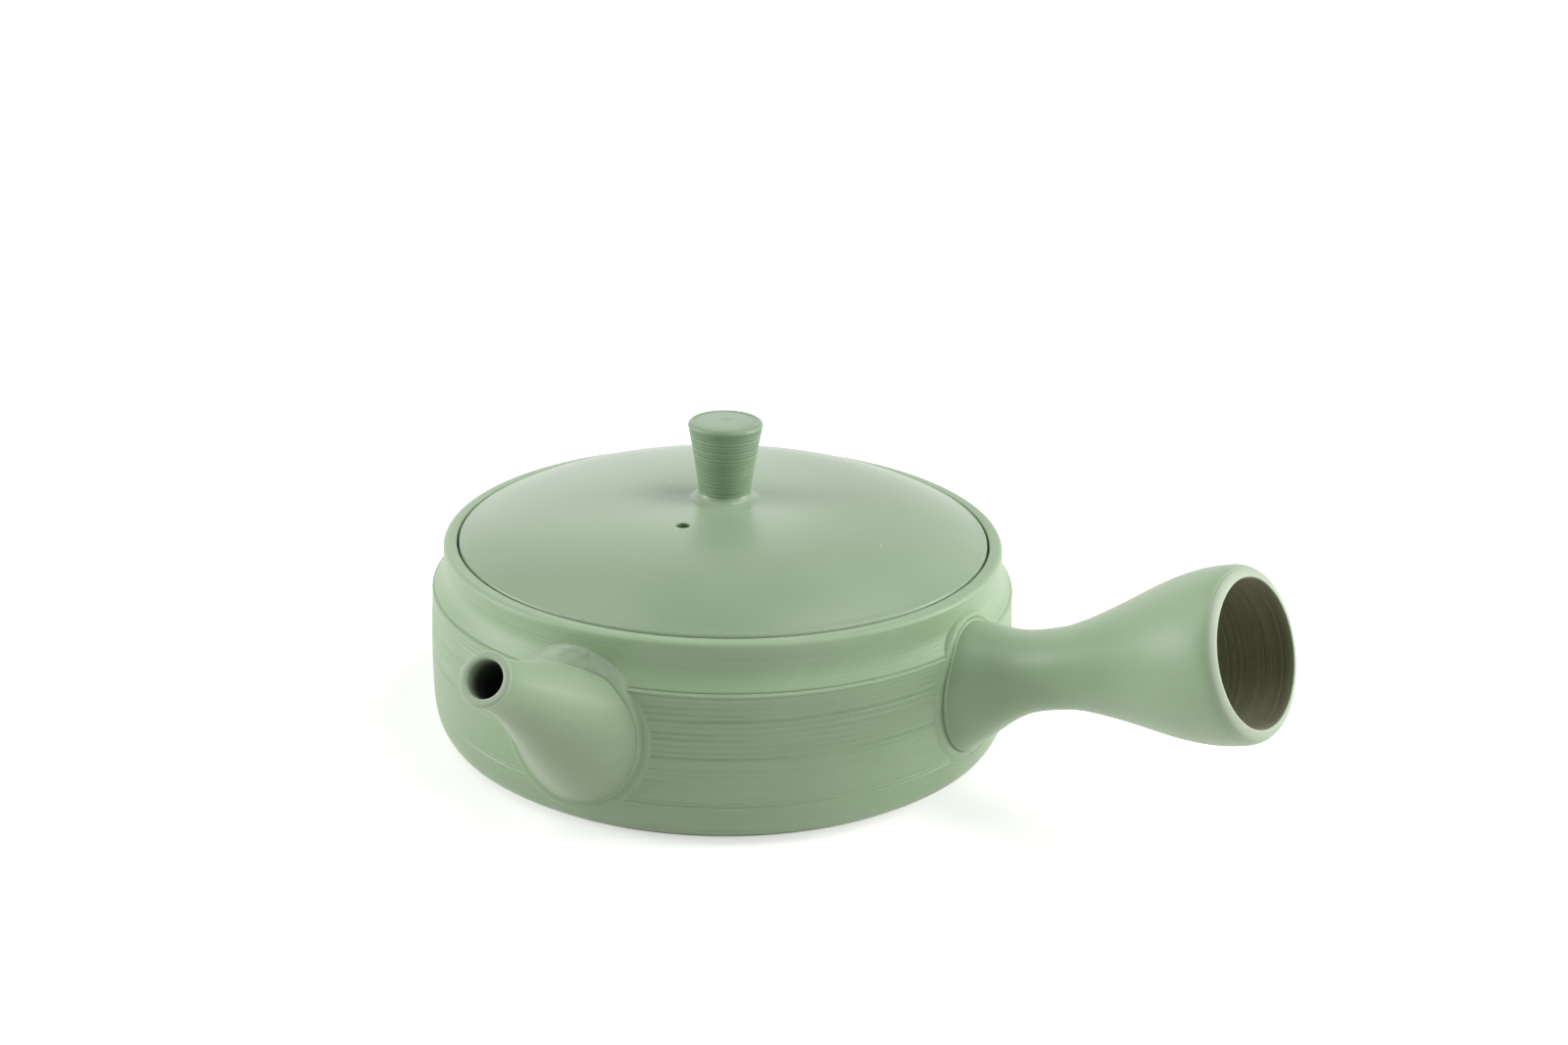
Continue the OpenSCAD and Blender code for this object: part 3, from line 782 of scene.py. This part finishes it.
SPOUT_BEAD = in_mm(((-2.2, -0.8, 1), (-1.75, 0.4, 1), (-1.45, 0.66, 1), (-1.34, 0.72, 0.86),
                    (-1.28, 0.73, 0.7), (-1.22, 0.73, 0.5), (-1.16, 0.72, 0.3), (-1.09, 0.69, 0.14),
                    (-1.01, 0.62, 0.04), (-0.92, 0.46, 0), (-0.85, 0.26, 0), (-0.76, 0.08, 0),
                    (-0.6, 0.02, 0), (-0.4, 0.03, 0), (-0.15, 0.09, 0), (0.1, 0.15, 0), (0.4, 0.17, 0),
                    (0.8, 0.11, 0), (1.2, 0.03, 0), (1.4, -0.2, 0), (1.4, -1.2, 0), (-2.2, -1.2, 1)))
SPOUT_SLIP = in_mm(((-2.2, -0.8, 1), (-1.75, 0.9, 1), (-1.4, 1.18, 1), (-1.2, 1.16, 0.86),
                    (-1.05, 1.06, 0.7), (-0.9, 0.92, 0.5), (-0.75, 0.8, 0.3), (-0.6, 0.7, 0.14),
                    (-0.45, 0.6, 0.04), (-0.32, 0.52, 0), (-0.2, 0.44, 0), (-0.08, 0.34, 0),
                    (0.03, 0.24, 0), (0.12, 0.13, 0), (0.2, 0.0, 0), (0.27, -0.12, 0),
                    (0.32, -0.25, 0), (0.36, -0.4, 0), (0.38, -0.6, 0), (0.4, -0.8, 0),
                    (0.4, -1.2, 0), (-2.2, -1.2, 1)))
spout_seam = bead("spout_seam", SPOUT_OVAL, spout_angles, SPOUT_BEAD, SPOUT_SLIP, SPOUT_LUMPS,
                  drop_at=slip_drop)
spout_seam.data.materials.append(bead_clay)
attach(spout_seam, "pot")
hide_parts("spout_seam")

# Handle
# Thrown as a hollow trumpet, closed against the wall and open at its wide end, where the rim is cut
# to a flat bevel, painted paler as a highlight. The inside is bare clay with the thrower's rings.
HANDLE_TILT = math.radians(20.3)
HANDLE_DROP = 16.3 * MM
HANDLE_OFFSET = 5.2 * MM
HANDLE_LEN = 62.4 * MM
HANDLE_ROOT_R = 13 * MM
HANDLE_WAIST_R = 7.69 * MM
HANDLE_WAIST_AT = 20.9 * MM
HANDLE_MOUTH_R = 16.25 * MM
HANDLE_WALL = 2.6 * MM
HANDLE_ROOT_POWER = 3.86
HANDLE_MOUTH_POWER = 1.86
# The handle is a little fuller behind the waist: at a distance along, over a length, by so much
HANDLE_FULL_AT = 29 * MM
HANDLE_FULL_LEN = 8.9 * MM
HANDLE_FULL = 0.43 * MM
HANDLE_TURNS = 200
HANDLE_ROWS = 110
HANDLE_OVAL = (4.4 * MM, 22 * MM, 11.5 * MM, 13.9 * MM, 1.8 * MM)
HANDLE_DRAW = 16
# The even wall of the hollow starts this far beyond the widest place
BORE_FROM = 1.5 * MM
# The rolled edge of the root is lower at its top, by this share
ROOT_EASE = 0.6
# The rolled edge of the root as (out along the wall, rise above it)
ROOT_EDGE = in_mm(((-0.75, 0.8), (-0.56, 0.7), (-0.44, 0.52), (-0.4, 0.3), (-0.42, 0.12),
                   (-0.5, -0.1), (-0.7, -1)))
handle_root_at = -HANDLE_ROOT_R * math.tan(HANDLE_TILT)
handle_mouth_at = HANDLE_LEN - 2 * HANDLE_WALL
handle_line = (
    Matrix.Translation((POT_R, HANDLE_OFFSET, RIM_Z - HANDLE_DROP))
    @ Matrix.Rotation(math.pi / 2 - HANDLE_TILT, 4, "Y")
)


def handle_r(along):
    """Outside radius of the handle at a distance along its axis from the wall."""
    behind = (along - HANDLE_FULL_AT) / HANDLE_FULL_LEN
    waist = HANDLE_WAIST_R + HANDLE_FULL * math.exp(-(behind**2))
    if along < HANDLE_WAIST_AT:
        share = (HANDLE_WAIST_AT - along) / (HANDLE_WAIST_AT - handle_root_at)
        return waist + (HANDLE_ROOT_R - HANDLE_WAIST_R) * flare(share, HANDLE_ROOT_POWER)
    share = (along - HANDLE_WAIST_AT) / (handle_mouth_at - HANDLE_WAIST_AT)
    return waist + (HANDLE_MOUTH_R - HANDLE_WAIST_R) * flare(share, HANDLE_MOUTH_POWER)


def handle_bore_r(along):
    """Radius of the handle's hollow at a distance along its axis."""
    return handle_r(along) - HANDLE_WALL


# The rounded end of the flare with a fine crease, the bevel, and the turn to the inside, each as
# (radius, distance beyond the widest place)
FLARE_END = in_mm(((16.24, 1.0), (16.18, 1.8), (16.05, 2.5), (15.86, 3.06), (15.7, 3.34), (15.6, 3.42),
                   (15.52, 3.43)))
BEVEL = in_mm(((15.48, 3.5), (15.46, 3.66), (15.34, 3.86), (14.95, 4.1), (14.5, 4.28), (14.1, 4.4),
               (13.84, 4.46), (13.7, 4.45), (13.62, 4.38), (13.58, 4.22)))
MOUTH_IN = in_mm(((13.5, 3.6), (13.52, 2.8), (13.6, 2.0)))
handle_angles = [2 * math.pi * k / HANDLE_TURNS for k in range(HANDLE_TURNS)]
handle_deep = handle_root_at - ROOT_DEPTH
handle_columns = []
for angle in handle_angles:
    out_root = meets_wall(handle_line, handle_r, angle, HANDLE_WAIST_AT, handle_deep)
    in_root = meets_wall(handle_line, handle_bore_r, angle, HANDLE_WAIST_AT, handle_deep)
    runs = [handle_mouth_at] + rows_between(handle_mouth_at, out_root, HANDLE_ROWS)
    column = [place_on(handle_line, handle_r(s), angle, s) for s in runs]
    lift = 1 - ROOT_EASE * upper(angle)
    edge = [root_spot(HANDLE_OVAL, angle, out, rise * lift) for out, rise in ROOT_EDGE]
    column = drawn(column, edge[0], HANDLE_DRAW) + edge[1:]
    column.reverse()
    end = FLARE_END + BEVEL + MOUTH_IN
    column += [place_on(handle_line, r, angle, handle_mouth_at + s) for r, s in end]
    runs = rows_between(handle_mouth_at + BORE_FROM, in_root, HANDLE_ROWS)
    column += [place_on(handle_line, handle_bore_r(s), angle, s) for s in runs]
    handle_columns.append(column)
BARE_DRY = (0.174, 0.177, 0.104, 1)
BARE_DRY_PALE = (0.295, 0.293, 0.19, 1)
# Paler clay on the bevel of the rim: a painted highlight
BEVEL_HIGHLIGHT = (0.36, 0.455, 0.315, 1)
BEVEL_HIGHLIGHT_PALE = (0.45, 0.54, 0.4, 1)
handle_turn = handle_line.inverted()
handle_clay = clay("handle_clay", GREEN, GREEN_PALE, streaks=0.3, relief=0.15, turn=handle_turn)
lip_clay = clay("lip_clay", BEVEL_HIGHLIGHT, BEVEL_HIGHLIGHT_PALE, streaks=0.2, relief=0.3, turn=handle_turn)
handle_bare = clay("handle_bare", BARE_DRY, BARE_DRY_PALE, streaks=1.5, grit=0.5, relief=0.4,
                   turn=handle_turn)
bevel_from = HANDLE_ROWS + len(ROOT_EDGE) + len(FLARE_END) - 1
handle = tube("handle", handle_columns, [handle_clay, lip_clay, handle_bare],
              [0, bevel_from, bevel_from + len(BEVEL)])
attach(handle, "pot")
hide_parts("handle")

# Luted seam of the handle
# A collar of soft clay pressed against the wall round the root, thickest above, with a fine groove
# left between it and the handle.
HANDLE_BEAD = in_mm(((-0.9, -0.3, 0), (-0.5, -0.05, 0), (-0.3, 0.01, 0), (-0.05, 0.03, 0),
                     (0.15, 0.08, 0.3), (0.35, 0.12, 0.85), (0.55, 0.14, 1), (0.8, 0.13, 0.9),
                     (1.1, 0.1, 0.6), (1.5, 0.05, 0.3), (2.0, -0.04, 0.1), (2.6, -0.25, 0),
                     (2.6, -1.3, 0), (-0.9, -1.3, 0)))
HANDLE_COLLAR = in_mm(((-0.9, -0.1, 0), (-0.5, 0.04, 0), (-0.34, 0.1, 0), (-0.2, 0.17, 0),
                       (-0.06, 0.25, 0), (0.08, 0.31, 0), (0.24, 0.34, 0), (0.42, 0.32, 0),
                       (0.58, 0.24, 0), (0.72, 0.1, 0), (0.86, -0.2, 0), (1.02, -0.7, 0),
                       (1.2, -1.6, 0), (-0.9, -1.6, 0)))
# A heel of clay stands up below the far side of the root
HEEL_AT = math.radians(36)
HEEL_WIDE = math.radians(50)
HEEL_RISE = 0.9 * MM
HANDLE_LUMPS = 0.08 * MM


def heel_lift(angle):
    """How far the heel stands up at an angle."""
    return HEEL_RISE * soft_step(1 - abs(angle - HEEL_AT) / HEEL_WIDE)


handle_seam = bead("handle_seam", HANDLE_OVAL, handle_angles, HANDLE_BEAD, HANDLE_COLLAR, HANDLE_LUMPS,
                   lift_at=heel_lift)
handle_seam.data.materials.append(pot_clay)
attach(handle_seam, "pot")
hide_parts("handle_seam")

# Lid
# Thrown upside down and turned to a low dome that drops inside the rim; a skirt below keeps it in
# the mouth, and a steam hole is pierced beside the knob.
lid_low, lid_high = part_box("lid")
LID_R = lid_high.x
LID_RISE = lid_high.z - RIM_Z
LID_FULLNESS = 3.7
LID_DIP = 0.9 * MM
LID_DIP_R = 12 * MM
LID_ROUND = 0.9 * MM
SEAT_ROUND = LID_ROUND / 3
LID_WALL = 3 * MM
SEAT_Z = RIM_Z - 2.9 * MM
SKIRT_R = MOUTH_R - 0.6 * MM
SKIRT_T = 2.8 * MM
SKIRT_ROUND = 0.5 * MM
VENT_R = 1.4 * MM
VENT_EASE = 0.1 * MM
VENT_AT = 20 * MM
VENT_ANGLE = math.radians(-75)
VENT_TURNS = 40
LID_TURNS = 320
LID_STEP = 0.5 * MM
LID_UNDER_STEP = 1.5 * MM
LID_GREEN = (0.262, 0.372, 0.229, 1)
LID_PALE = (0.32, 0.43, 0.286, 1)


def dome_z(r):
    """Height of the lid's top at a radius, with the shallow dip round the knob."""
    dip = LID_DIP * math.exp(-((r / LID_DIP_R) ** 2))
    return RIM_Z + LID_RISE * (1 - (r / LID_R) ** LID_FULLNESS) - dip


skirt_in = SKIRT_R - SKIRT_T
under = [(r, dome_z(r) - LID_WALL) for r in steps(0, skirt_in, LID_UNDER_STEP)]
lid_side = arc(skirt_in + SKIRT_ROUND, lid_low.z + SKIRT_ROUND, SKIRT_ROUND, 180, 270, 4)
lid_side += arc(SKIRT_R - SKIRT_ROUND, lid_low.z + SKIRT_ROUND, SKIRT_ROUND, -90, 0, 4)
lid_side += [(SKIRT_R, SEAT_Z), (LID_R - SEAT_ROUND, SEAT_Z)]
lid_side += arc(LID_R - SEAT_ROUND, SEAT_Z + SEAT_ROUND, SEAT_ROUND, -90, 0, 4)[1:]
lid_side += arc(LID_R - LID_ROUND, dome_z(LID_R - LID_ROUND) - LID_ROUND, LID_ROUND, 0, 72, 8)
top = [(r, dome_z(r)) for r in steps(LID_R - LID_ROUND, 0, LID_STEP)][1:]
lid = turned("lid", under + lid_side + top, LID_TURNS, bare=range(len(under)))
vent_top = dome_z(VENT_AT)
vent_profile = [(0, SEAT_Z), (VENT_R, SEAT_Z), (VENT_R, vent_top - VENT_EASE)]
vent_profile += [(VENT_R + 2 * VENT_EASE, vent_top + VENT_EASE), (0, vent_top + VENT_EASE)]
vent = turned("vent", vent_profile, VENT_TURNS)
vent.data.transform(Matrix.Rotation(VENT_ANGLE, 4, "Z") @ Matrix.Translation((VENT_AT, 0, 0)))
cut(lid, vent)
lid_clay = clay("lid_clay", LID_GREEN, LID_PALE, streaks=0.15, polish=0.1, relief=0.12)
run_nodes(lid, LINES, spacing=2.3 * MM, depth=0.02 * MM, start=9 * MM, end=LID_R, fade=6 * MM,
          waver=0.6, outwards=1.0, seed=2, axis=(0, 0, 1), finish=lid_clay, bare_finish=bare_clay)
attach(lid, "lid")
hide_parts("lid")

# Knob
# Turned from a small cone of clay: a waisted stem that opens to a flat top with a rounded edge.
# The turning tool leaves fine rings on its side and a mark in the middle of its top.
knob_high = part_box("lid_knob")[1]
KNOB_FULLER = 0.16 * MM
KNOB_R = knob_high.x + KNOB_FULLER
KNOB_STEM_R = 5.25 * MM
KNOB_ROUND = 0.95 * MM
KNOB_POWER = 1.25
KNOB_SINK = 0.4 * MM
KNOB_TURNS = 160
KNOB_STEP = 0.012
# The top from the rounded edge inwards, as (radius, drop): a cut line, the flat, and the middle mark
KNOB_TOP = in_mm(((6.58, 0.02), (6.44, 0.1), (6.3, 0.17), (6.16, 0.15), (5.96, 0.1), (5.5, 0.07),
                  (4.4, 0.04), (3.2, 0.02), (2.0, 0.01), (1.2, 0.01), (0.95, 0.05), (0.7, 0.1),
                  (0.45, 0.04), (0.0, 0.02)))
knob_foot = dome_z(0)
stem_h = knob_high.z - KNOB_ROUND - knob_foot
knob = [(0, knob_foot - KNOB_SINK), (KNOB_STEM_R, knob_foot - KNOB_SINK)]
for share in steps(0, 1, KNOB_STEP):
    stem_r = KNOB_STEM_R + (KNOB_R - KNOB_STEM_R) * share**KNOB_POWER
    knob.append((stem_r, knob_foot + stem_h * share))
knob += arc(KNOB_R - KNOB_ROUND, knob_high.z - KNOB_ROUND, KNOB_ROUND, 12, 90, 8)
knob += [(r, knob_high.z - drop) for r, drop in KNOB_TOP]
lid_knob = turned("lid_knob", knob, KNOB_TURNS)
KNOB_GREEN = (0.209, 0.318, 0.184, 1)
KNOB_PALE = (0.274, 0.388, 0.247, 1)
knob_clay = clay("knob_clay", KNOB_GREEN, KNOB_PALE, streaks=1.2, polish=0.05, relief=0.3)
run_nodes(lid_knob, LINES, spacing=0.72 * MM, depth=0.14 * MM, start=knob_foot + 1 * MM,
          end=knob_high.z - KNOB_ROUND, fade=1 * MM, waver=0.2, seed=7, axis=(0, 0, 1),
          finish=knob_clay)
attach(lid_knob, "lid")
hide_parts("lid_knob")

# Fillet of the knob
# Slip wiped round the foot of the knob with a wet finger, so that it runs out thin on the lid.
FILLET_OUT = 1.7 * MM
FILLET_UP = 2.2 * MM
FILLET_EDGE = 0.14 * MM
FILLET_SINK = 0.25 * MM
FILLET_STEP = 0.1
FILLET_FADE_FROM = knob_foot + 0.5 * MM
# Its thin outer edge as (out, up)
FILLET_FEATHER = in_mm(((0.3, -0.06), (0.2, 0.03), (0.1, 0.09)))
edge_r = KNOB_STEM_R + FILLET_OUT
fillet = [(edge_r + r, dome_z(edge_r) + z) for r, z in FILLET_FEATHER]
for turn in steps(0, math.pi / 2, FILLET_STEP):
    r = KNOB_STEM_R + FILLET_OUT * (1 - math.sin(turn))
    fillet.append((r, dome_z(r) + FILLET_EDGE + (FILLET_UP - FILLET_EDGE) * (1 - math.cos(turn))))
stem_in = KNOB_STEM_R - FILLET_SINK
under_z = knob_foot - FILLET_SINK
fillet += [(stem_in, fillet[-1][1]), (stem_in, under_z), (edge_r, under_z)]
knob_seam = turned("knob_seam", fillet, KNOB_TURNS, closed=True)
fillet_clay = clay("fillet_clay", SLIP_PALE, LID_PALE, streaks=0.2, polish=0.1, relief=0.15)
fade_along(fillet_clay, FILLET_FADE_FROM, knob_foot + FILLET_UP, KNOB_GREEN)
knob_seam.data.materials.append(fillet_clay)
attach(knob_seam, "lid")
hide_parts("knob_seam")

# Floor and surroundings
# A plain white sheet under the pot. The sheet and the tent around it show white to the eye and in
# reflections, and the pot's shadow stays on the sheet.
WHITE = (1, 1, 1, 1)
FLOOR_SIZE = 6.0
SHEET_WHITE = (0.87, 0.845, 0.85, 1)
SHEET_ROUGH = 0.9
# How much the sheet glows to the eye, near the pot and far from it, and the distances of both
SHEET_GLOW = 0.507
SHEET_GLOW_FAR = 1
GLOW_NEAR = 0.07
GLOW_FAR = 0.45
floor_mesh = bpy.data.meshes.new("floor")
floor_corners = [(x * FLOOR_SIZE, y * FLOOR_SIZE, 0) for x, y in ((-1, -1), (1, -1), (1, 1), (-1, 1))]
floor_mesh.from_pydata(floor_corners, [], [(0, 1, 2, 3)])
floor = bpy.data.objects.new("floor", floor_mesh)
bpy.context.scene.collection.objects.link(floor)
floor_sheet = bpy.data.materials.new("floor_sheet")
floor_sheet.use_nodes = True
floor_mesh.materials.append(floor_sheet)


def is_seen(tree):
    """1 for rays from the eye, and for those that show a reflection or pass through glass."""
    rays = node(tree, "ShaderNodeLightPath", -900, 0).outputs
    seen = math_node(tree, "MAXIMUM", -700, 0, rays["Is Camera Ray"], rays["Is Glossy Ray"])
    return math_node(tree, "MAXIMUM", -500, 0, seen, rays["Is Transmission Ray"])


sheet = floor_sheet.node_tree
sheet_place = node(sheet, "ShaderNodeTexCoord", -900, -300).outputs["Object"]
sheet_out = node(sheet, "ShaderNodeVectorMath", -700, -300, {0: sheet_place}, operation="LENGTH")
sheet_glow = ramp(sheet, -500, -300, sheet_out.outputs["Value"], GLOW_NEAR, GLOW_FAR,
                  SHEET_GLOW, SHEET_GLOW_FAR)
glow = math_node(sheet, "MULTIPLY", -300, 0, is_seen(sheet), sheet_glow)
feed(sheet, sheet.nodes["Principled BSDF"], {
    "Base Color": SHEET_WHITE, "Roughness": SHEET_ROUGH, "Specular IOR Level": 0.0,
    "Emission Color": WHITE, "Emission Strength": glow})

AMBIENT = 0.08
world = bpy.data.worlds.new("white_tent")
bpy.context.scene.world = world
world.use_nodes = True
tent = world.node_tree
strength = math_node(tent, "MULTIPLY_ADD", -300, 0, is_seen(tent), 1 - AMBIENT, AMBIENT)
feed(tent, tent.nodes["Background"], {"Color": WHITE, "Strength": strength})

# Soft boxes of the studio as (name, turn round the pot from +X, height, distance, power)
LAMP_SIZE = 0.6
LAMPS = (
    ("lamp_left_low", 219.1, 0.32, 1.05, 6.9),
    ("lamp_left_high", 219.1, 0.98, 0.55, 2.4),
    ("lamp_front", -5.9, 0.66, 0.9, 1.9),
    ("lamp_right_low", 39.1, 0.32, 1.05, 6.8),
    ("lamp_right_high", 39.1, 0.98, 0.55, 4.6),
    ("lamp_back", 140, 0.45, 1.1, 0.7),
)
LOOK_AT = Vector((0.01, 0, 0.03))
for name, turn, height, distance, power in LAMPS:
    lamp = bpy.data.lights.new(name, "AREA")
    lamp.shape = "SQUARE"
    lamp.size = LAMP_SIZE
    lamp.energy = power
    holder = bpy.data.objects.new(name, lamp)
    round_it = math.radians(turn)
    holder.location = (distance * math.cos(round_it), distance * math.sin(round_it), height)
    holder.rotation_euler = (LOOK_AT - holder.location).to_track_quat("-Z", "Y").to_euler()
    bpy.context.scene.collection.objects.link(holder)

# Camera
# A 50 mm lens about 0.42 m from the pot's axis, a little above it, as in the photograph.
LENS = 50
IMAGE_WIDTH = 36
NEAREST = 0.01
CAMERA_OUT = 0.422
CAMERA_Z = 0.2003
CAMERA_AZIMUTH = math.radians(39.12)
PITCH = math.radians(20.469)
YAW = math.radians(1.676)
ROLL = math.radians(1.329)
ahead = Vector((math.sin(YAW) * math.cos(PITCH), math.cos(YAW) * math.cos(PITCH), -math.sin(PITCH)))
level = Vector((math.cos(YAW), -math.sin(YAW), 0))
upright = level.cross(ahead)
right = level * math.cos(ROLL) + upright * math.sin(ROLL)
up = upright * math.cos(ROLL) - level * math.sin(ROLL)
pose = Matrix((right, up, -ahead)).transposed().to_4x4()
pose.translation = (0, -CAMERA_OUT, CAMERA_Z)
camera_data = bpy.data.cameras.new("camera")
camera_data.lens = LENS
camera_data.sensor_width = IMAGE_WIDTH
camera_data.clip_start = NEAREST
camera = bpy.data.objects.new("camera", camera_data)
camera.matrix_world = Matrix.Rotation(CAMERA_AZIMUTH, 4, "Z") @ pose
bpy.context.scene.collection.objects.link(camera)
bpy.context.scene.camera = camera
bpy.context.scene.view_settings.view_transform = "Standard"
